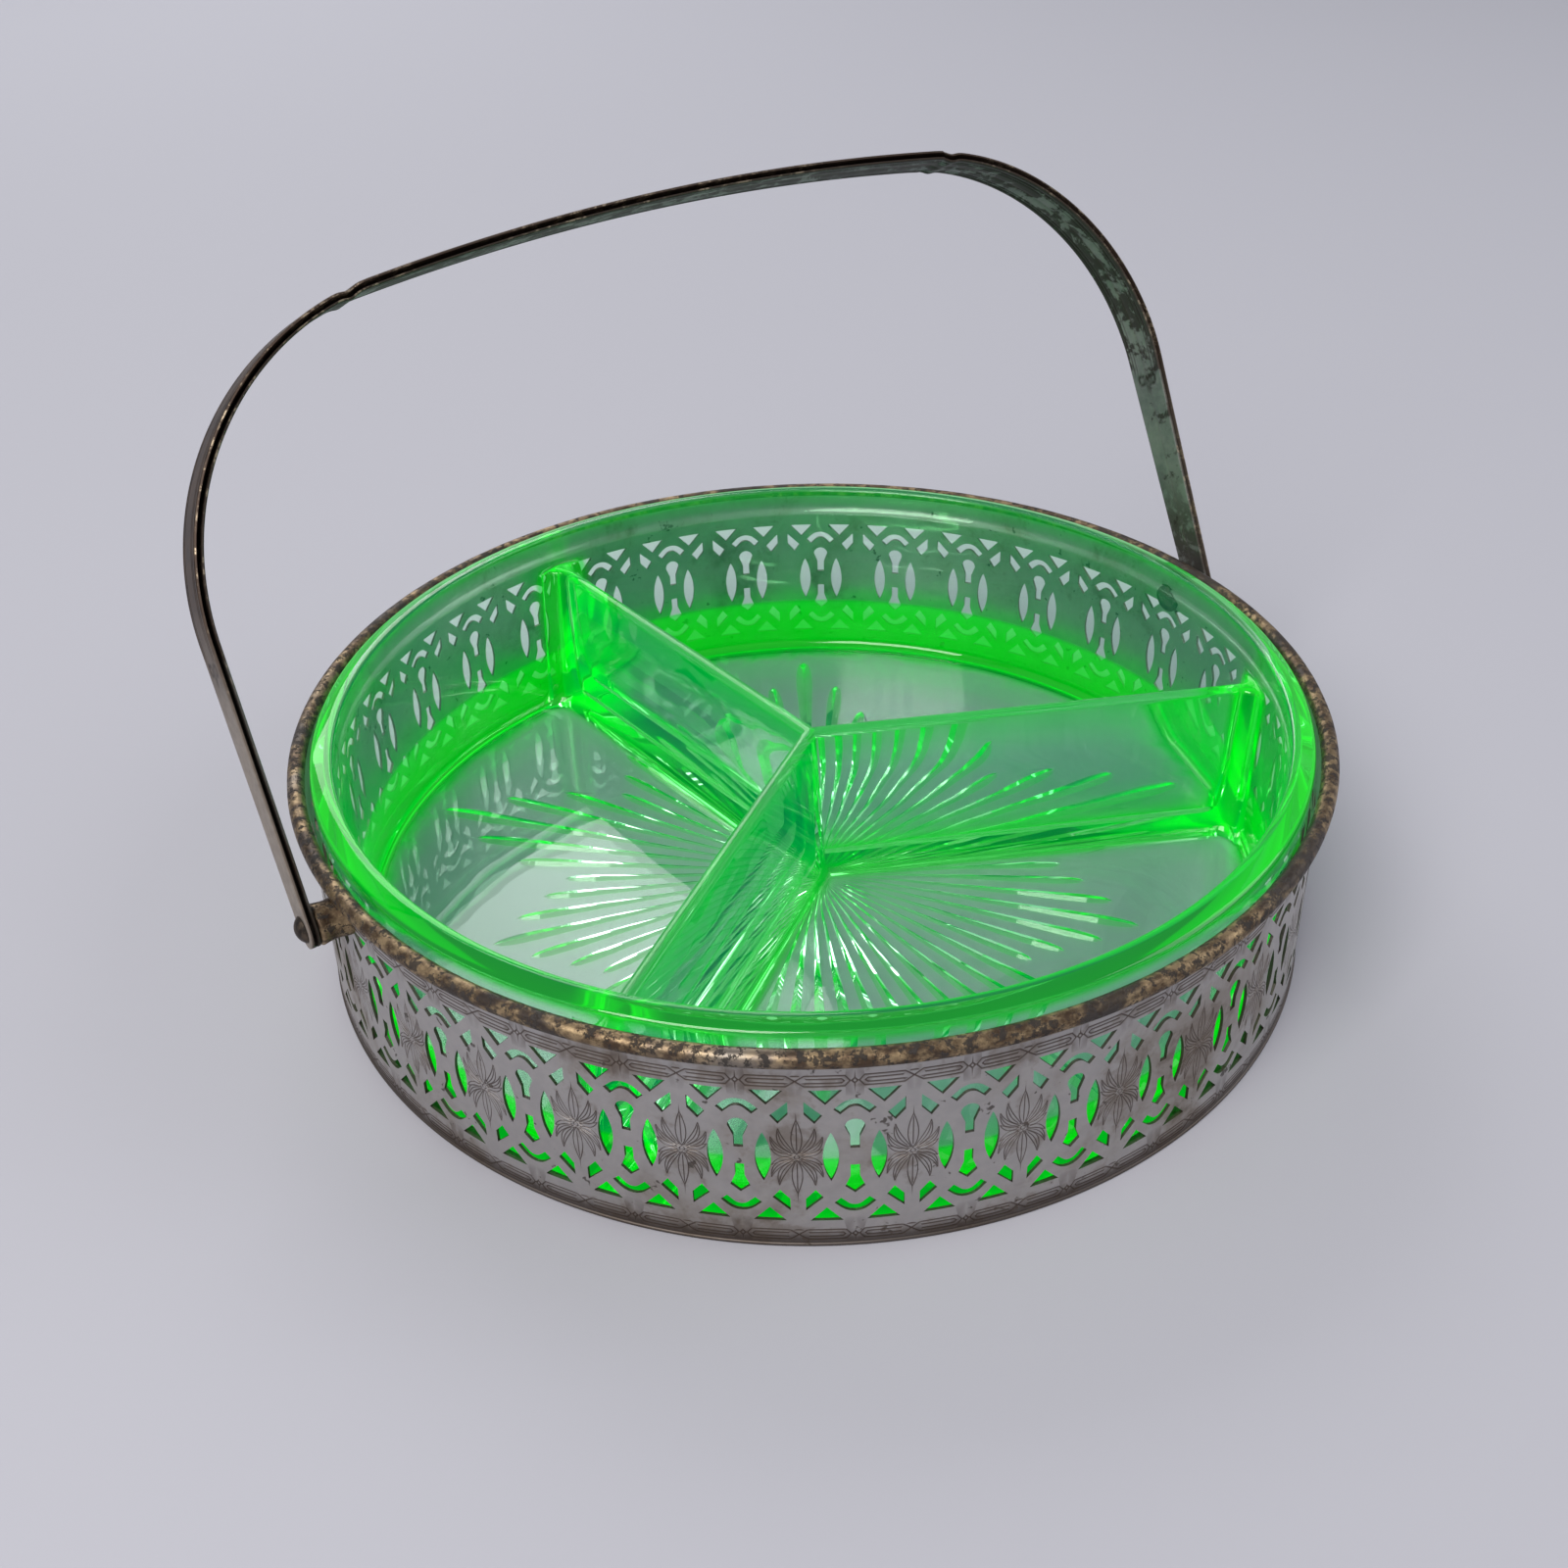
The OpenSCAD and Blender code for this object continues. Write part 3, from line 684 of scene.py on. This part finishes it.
# Triangles between the constraint lines, kept where they are metal
def triangulate(groups, shapes):
    points = np.concatenate([g[0] for g in groups])
    starts = np.cumsum([0] + [len(g[0]) for g in groups[:-1]])
    edges = np.concatenate([g[1] + s for g, s in zip(groups, starts)])
    flat, _, faces, *rest = delaunay_2d_cdt([Vector(p) for p in points], edges.tolist(), [], 0, 1e-5)
    flat, faces = np.array([tuple(p) for p in flat]), np.array([tuple(f) for f in faces])
    centre = flat[faces].mean(1)
    b = band
    keep = (centre[:, 0] > 0) & (centre[:, 0] < b["half"])
    keep &= (centre[:, 1] > b["low"]) & (centre[:, 1] < b["high"])
    for shape in shapes:
        keep &= ~insideShape(centre, shape)
    return flat, faces[keep]


# Edges that only one kept triangle uses, in its own direction
def openEdges(faces):
    edges = np.concatenate([faces[:, [0, 1]], faces[:, [1, 2]], faces[:, [2, 0]]])
    key = np.sort(edges, 1)
    _, index, counts = np.unique(key, axis=0, return_index=True, return_counts=True)
    return edges[index[counts == 1]]


# Points a line's half width to each side of it, so that a groove has edges of its own
def besideLine(line, width):
    run = np.gradient(line, axis=0)
    across = np.stack([-run[:, 1], run[:, 0]], -1) / np.linalg.norm(run, axis=1)[:, None]
    return [line + across * width, line - across * width]


# The band: one half repeat is triangulated flat, given an inner side and walls round its openings, then mirrored
# and bent round the circle: x along the band becomes the angle x / radius
def makeBand(material):
    b = band
    half, low, high = b["half"], b["low"], b["high"]
    shapes = openingShapes()
    strokes, widths = engravedLines()
    upright = [np.array([(x, low), (x, high)]) for x in np.arange(b["strip"], half - 0.3, b["strip"])]
    level = [np.array([(0, z), (half, z)]) for z in np.linspace(low, high, b["levels"] + 2)[1:-1]]
    border = np.array([(0, low), (half, low), (half, high), (0, high)])
    grooveEdges = [side for line, width in zip(strokes, widths) for side in besideLine(line, width)]
    outer, outerFaces = triangulate([joinLines(shapes + [border], True), joinLines(strokes + grooveEdges, False),
        joinLines(upright, False), joinLines(level, False)], shapes)
    starts = np.concatenate([s[:-1] for s in strokes])
    ends = np.concatenate([s[1:] for s in strokes])
    spans = np.concatenate([np.full(len(s) - 1, w) for s, w in zip(strokes, widths)])
    nearest = distanceToLines(outer, starts, ends, spans)
    groove = np.clip(1 - nearest, 0, 1)
    groove[groove < 0.02] = 0
    rimEdges = openEdges(outerFaces)
    used = np.unique(rimEdges)
    place = np.full(len(outer), -1)
    place[used] = np.arange(len(used))
    inner, innerFaces = triangulate([(outer[used], place[rimEdges]), joinLines(upright, False)], shapes)
    rimX = outer[rimEdges][..., 0]
    onSide = (np.abs(rimX) < 1e-4).all(1) | (np.abs(rimX - half) < 1e-4).all(1)
    one, other = rimEdges[~onSide].T
    n, m, w = len(outer), len(inner), len(one)
    flat = np.concatenate([outer, inner, outer[one], outer[other], outer[one], outer[other]])
    sunk = groove * b["lineDepth"]
    depth = np.concatenate([sunk, np.full(m, b["sheet"]), sunk[one], sunk[other], np.full(2 * w, b["sheet"])])
    i = n + m + np.arange(w)
    walls = np.stack([i + w, i, i + 2 * w, i + 3 * w], -1)
    triangles = np.concatenate([outerFaces, innerFaces[:, ::-1] + n, walls[:, [0, 1, 2]], walls[:, [0, 2, 3]]])
    shade = np.where(np.abs(outer[:, 1] - b["middle"]) < b["petalReach"], b["petalShade"], 1) * groove
    nearness = np.clip(1 - nearest / b["dirtReach"], 0, 1)
    onInner, onWall = np.ones(innerFaces.shape), np.ones((2 * w, 3))
    # The walls of the openings get painted shade: dark by wallShade and a larger dirt share
    dark = np.concatenate([shade[outerFaces], 0 * onInner, b["wallShade"] * onWall])
    dirt = np.concatenate([nearness[outerFaces], b["innerDirt"] * onInner, b["wallDirtAndShade"] * onWall])
    points, faces, lineDarkAndWallShade, dirts = [], [], [], []
    radius = b["outR"] - depth
    for k in range(b["repeats"]):
        for side in (1, -1):
            angle = (k * 2 * half + side * flat[:, 0]) / b["outR"]
            faces.append(triangles[:, ::side] + len(points) * len(flat))
            points.append(np.stack([radius * np.cos(angle), radius * np.sin(angle), flat[:, 1]], -1))
            lineDarkAndWallShade.append(dark[:, ::side])
            dirts.append(dirt[:, ::side])
    print("band triangles:", len(triangles) * 2 * b["repeats"])
    return makePiece("piercedBand", np.concatenate(points), np.concatenate(faces), material, 8,
        {"groove": np.concatenate(lineDarkAndWallShade), "dirt": np.concatenate(dirts)})


# ---- Bead and foot ----

bead = {"midR": 102.3, "midZ": 44.4, "r": 1.7, "around": 720, "across": 20, "dent": 0.07}
foot = {"inR": 93.9, "flatR": 97.0, "outR": 101.5, "ledge": 0.8, "upIn": 100.0, "upOut": 100.6, "upTop": 3.8,
    "chamfer": 0.15, "edge": 0.2, "corner": 0.4, "around": 360, "groove": 0.12}


# Rolled bead: a torus whose tube is pressed in a little by slow waves round it
def makeBead(material):
    b = bead
    u = np.linspace(0, wholeTurn, b["around"], endpoint=False)[:, None]
    v = np.linspace(0, wholeTurn, b["across"], endpoint=False)[None, :]
    wave = 0.5 + 0.2 * np.sin(7 * u + 1.3 * np.sin(v)) + 0.18 * np.sin(23 * u + 2 * v)
    wave = wave + 0.12 * np.sin(61 * u - v)
    r = b["r"] - b["dent"] * wave * (0.4 + 0.6 * np.maximum(np.sin(v), 0))
    out = b["midR"] + r * np.cos(v)
    points = np.stack([out * np.cos(u), out * np.sin(u), b["midZ"] + r * np.sin(v)], -1).reshape(-1, 3)
    return makePiece("rolledBead", points, gridFaces(b["around"], b["across"], True)[:, ::-1], material, 60)


# Foot: a flat ledge with a rounded lip outside the band and an upstand inside it
def makeFoot(material):
    f = foot
    lip, edge, c, corner = f["ledge"] / 2, f["edge"], f["chamfer"], f["corner"]
    lipX = f["outR"] - lip
    underside = [(f["inR"] + edge, 0), (f["flatR"], 0), (lipX, 0)]
    upstand = [(f["upOut"], f["ledge"]), (f["upOut"], f["upTop"] - c), (f["upOut"] - c, f["upTop"]),
        (f["upIn"] + c, f["upTop"]), (f["upIn"], f["upTop"] - c), (f["upIn"], f["ledge"] + corner)]
    ledge = [(f["upIn"] - corner, f["ledge"]), (f["inR"] + edge, f["ledge"]), (f["inR"], f["ledge"] - edge),
        (f["inR"], edge)]
    profile = np.concatenate([underside, arc((lipX, lip), lip, -60, 90, 7), upstand, ledge])
    points = turned(profile, f["around"]).reshape(-1, 3)
    return makePiece("footRing", points, gridFaces(len(profile), f["around"], True), material, 40,
        {"groove": np.full(len(points), f["groove"])})


# ---- Bail handle ----

strap = {"pivotZ": 38.5, "height": 110.0, "thick": 1.8, "endW": 7.6, "width": 10.0, "taperH": 60.0, "gripW": 11.4,
    "gripL": 129.0, "crownR": 500.0, "shoulderR": 54.0, "legX": 109.25, "lean": 27.0, "edgeRound": 0.45,
    "lineIn": 1.35, "lineIn2": 2.3, "lineHalf": 0.28, "lineDepth": 0.16, "faceRows": (3.1, 3.7, 4.3),
    "terminalH": 50.0, "step": 0.6, "kink": 0.45, "kinkAt": 2.2, "kinkWide": 1.3}


# Middle line of the strap from the right pivot up, over and down: place and outward direction in X and height
def strapPath():
    s = strap
    mid = s["legX"] - s["thick"] / 2
    inner = s["shoulderR"] - s["thick"] / 2
    crown = s["crownR"] - s["thick"] / 2
    turn = np.arcsin((s["legX"] - s["shoulderR"]) / (s["crownR"] - s["shoulderR"]))
    shoulderZ = s["height"] - s["crownR"] + (s["crownR"] - s["shoulderR"]) * np.cos(turn)
    endR = s["endW"] / 2
    cap = -endR * np.cos(np.linspace(0, np.pi / 2, 9))
    leg = np.concatenate([cap, np.arange(s["step"], shoulderZ - 0.5, s["step"])])
    a = np.linspace(0, np.pi / 2 - turn, int(inner * (np.pi / 2 - turn) / s["step"]))
    b = np.linspace(np.pi / 2 - turn, np.pi / 2, int(crown * turn / s["step"]))[1:]
    x = np.concatenate([mid + 0 * leg, s["legX"] - s["shoulderR"] + inner * np.cos(a), crown * np.cos(b)])
    z = np.concatenate([leg, shoulderZ + inner * np.sin(a), s["height"] - s["crownR"] + crown * np.sin(b)])
    out = np.concatenate([0 * leg, a, b])
    whole = np.stack([x, z, out], -1)
    mirrored = whole[::-1][1:] * [-1, 1, -1] + [0, 0, np.pi]
    return np.concatenate([whole, mirrored])


# Width of the strap at each point: a round end, a taper, then parallel, a little wider along the grip
def strapWidth(x, z):
    s = strap
    taper = np.interp(z, [0, s["taperH"]], [s["endW"], s["width"]])
    endR = s["endW"] / 2
    cap = 2 * np.sqrt(np.maximum(endR ** 2 - np.minimum(z, 0) ** 2, 0))
    grip = easeStep(s["gripL"] / 2 + 0.5, s["gripL"] / 2 - 0.4, np.abs(x)) * (z > s["height"] / 2)
    return np.where(z < 0, cap, taper + (s["gripW"] - s["width"]) * grip)


# Scroll below the end of the border lines: two curls and a leaf between them, 0 to 1, by place across and height
def scrollMark(across, rise):
    curls = np.abs(np.hypot(np.abs(across) - 1.7, rise + 1.6) - 1.0)
    leaf = np.abs(across) / 0.9 + np.abs(rise + 3.4) / 3.2
    return np.clip(np.maximum(1.2 - curls / 0.42, 1.4 - 1.4 * leaf), 0, 1)


# The strap's section, point by point round it: face, side, distance in from the edge, drop from the face and share
# of the line's depth; the two border lines are V grooves
def strapSection():
    s = strap
    e, h = s["edgeRound"], s["lineHalf"]
    run = [(0, e, 0), (0.13 * e, 0.5 * e, 0), (0.5 * e, 0.13 * e, 0), (e, 0, 0)]
    for middle, share in ((s["lineIn"], 1), (s["lineIn2"], 0.7)):
        run += [(middle - h, 0, 0), (middle, 0, share), (middle + h, 0, 0)]
    run += [(inset, 0, 0) for inset in s["faceRows"]]
    rows = [(face, side, *row) for face in (1, -1) for side in (1, -1) for row in run[::side * face]]
    return [np.array(column, float)[None, :] for column in zip(*rows)]


# The handle: the section is swept along the strap's middle line, then leaned back and set on the pivot axis
def makeHandle(material):
    s = strap
    path = strapPath()
    x, z, out = path[:, 0:1], path[:, 1:2], path[:, 2:3]
    width = strapWidth(x, z)
    face, side, inset, drop, share = strapSection()
    across = side * (width / 2 - inset * np.clip((width / 2 - 0.2) / 4.5, 0, 1))
    lined = easeStep(s["terminalH"] - 1, s["terminalH"] + 1, z)
    scroll = scrollMark(across, z - s["terminalH"]) * (np.abs(x) > 100) * (inset > 0.9)
    sink = (share * lined + (1 - share * lined) * scroll) * s["lineDepth"]
    pastGrip = (np.abs(x) - s["gripL"] / 2 - s["kinkAt"]) / s["kinkWide"]
    kink = s["kink"] * np.exp(-pastGrip ** 2) * (z > s["height"] / 2)
    deep = face * (s["thick"] / 2 - drop - sink) - kink
    up = z + deep * np.sin(out)
    lean = np.radians(s["lean"])
    points = np.stack([x + deep * np.cos(out), across * np.cos(lean) + up * np.sin(lean),
        s["pivotZ"] - across * np.sin(lean) + up * np.cos(lean)], -1)
    rows, count = points.shape[:2]
    ends = [np.arange(count).tolist(), ((rows - 1) * count + np.arange(count)[::-1]).tolist()]
    values = {"edge": inset < 0.5 * s["edgeRound"], "inner": face < 0, "along": z / s["height"],
        "ornament": np.clip(share * lined + scroll, 0, 1), "border": np.exp(-inset / 1.4) * lined}
    attributes = {key: np.broadcast_to(value * 1.0, (rows, count)) for key, value in values.items()}
    faces = gridFaces(rows, count)[:, ::-1].tolist() + ends
    return makePiece("bailStrap", points.reshape(-1, 3), faces, material, 42, attributes)


# ---- Pivots ----

pivot = {"x": 101.2, "z": 38.5, "bossEnd": 107.3, "bossR": 4.0, "headX": 109.4, "headR": 2.6, "headH": 1.4,
    "shankR": 1.5, "tailIn": 99.7, "tailR": 2.3, "around": 48}


# A profile of (distance along the pivot axis, radius) turned round that axis, on the +X side or the -X side; a
# saddled one has its inner end bent to lie on the band
def pivotTurned(name, profile, side, material, saddle=False):
    profile = np.asarray(profile, float)
    around = pivot["around"]
    a = np.linspace(0, wholeTurn, around, endpoint=False)[None, :]
    x, r = profile[:, :1] + 0 * a, profile[:, 1:]
    y, z = r * np.cos(a), r * np.sin(a)
    if saddle:
        sag = np.sqrt(pivot["x"] ** 2 - y ** 2) - pivot["x"]
        x = x + sag * (profile[:, :1] <= pivot["x"] + 0.01)
    points = np.stack([x * side, y * side, pivot["z"] + z], -1).reshape(-1, 3)
    faces = gridFaces(len(profile), around).tolist()
    faces += [np.arange(around)[::-1].tolist(), ((len(profile) - 1) * around + np.arange(around)).tolist()]
    return makePiece(name, points, faces, material, 40)


# Boss: a short spacer with a shallow waist and rounded shoulders, saddled on the band
def makeBoss(name, side, material):
    p = pivot
    r, x0, x1 = p["bossR"], p["x"], p["bossEnd"]
    body = np.linspace(0, 1, 9)
    middle = [(x0 + 0.9 + (x1 - x0 - 1.6) * t, r - 0.05 - 0.28 * np.sin(np.pi * t)) for t in body]
    outerEdge = [(x1 - 0.35, r - 0.12), (x1 - 0.1, r - 0.35), (x1, r - 0.7)]
    profile = [(x0, r - 0.02), (x0 + 0.5, r)] + middle + outerEdge
    return pivotTurned(name, profile, side, material, saddle=True)


# Rivet: shank, domed head outside the strap and flat closed end inside the band
def makeRivet(name, side, material):
    p = pivot
    tailX, tailR, headX = p["tailIn"], p["tailR"], p["headX"]
    domeR = (p["headR"] ** 2 + p["headH"] ** 2) / (2 * p["headH"])
    t = np.linspace(np.arcsin(p["headR"] / domeR), 0.06, 8)
    dome = [(headX + p["headH"] - domeR * (1 - np.cos(a)), domeR * np.sin(a)) for a in t]
    tail = [(tailX, tailR - 0.4), (tailX + 0.12, tailR - 0.1), (tailX + 0.35, tailR)]
    shank = [(tailX + 0.42, p["shankR"]), (headX, p["shankR"]), (headX + 0.02, p["headR"] - 0.15)]
    return pivotTurned(name, tail + shank + dome, side, material)


# ---- Put it together ----

plate, brass, tarnished, rivetDark = wornPlate(), brassyBead(), tarnishedStrap(), darkRivet()
wire, green = ironWire(), greenGlass()
placeCamera()
setStage()
print("stage set")


# A piece rides its body and stands in for a CAD node
def fit(piece, body, slot, *replaced):
    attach(piece, body)
    if replaced:
        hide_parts(*replaced)


fit(makeGlass(green), "dish", "green_glass", "glass_dish")
print("glass made")
fit(makeBand(plate), "frame", "worn_silver_plate", "gallery_band")
print("band made")
fit(makeBead(brass), "frame", "brassy_bead", "rim_bead")
fit(makeFoot(plate), "frame", "worn_silver_plate", "base_ring")
fit(makeHandle(tarnished), "handle", "tarnished_strap", "bail_handle")
print("bead, foot and handle made")
for hand, side in (("right", 1), ("left", -1)):
    fit(makeBoss(hand + "BossSpacer", side, brass), "frame", "brassy_bead", hand + "_boss")
    fit(makeRivet(hand + "DomedRivet", side, rivetDark), "frame", "dark_rivet", hand + "_rivet")
for name, material in (("rim_wire", wire), ("left_washer", rivetDark), ("right_washer", rivetDark)):
    nodes[name].data.materials.clear()
    nodes[name].data.materials.append(material)
print("pivots made")
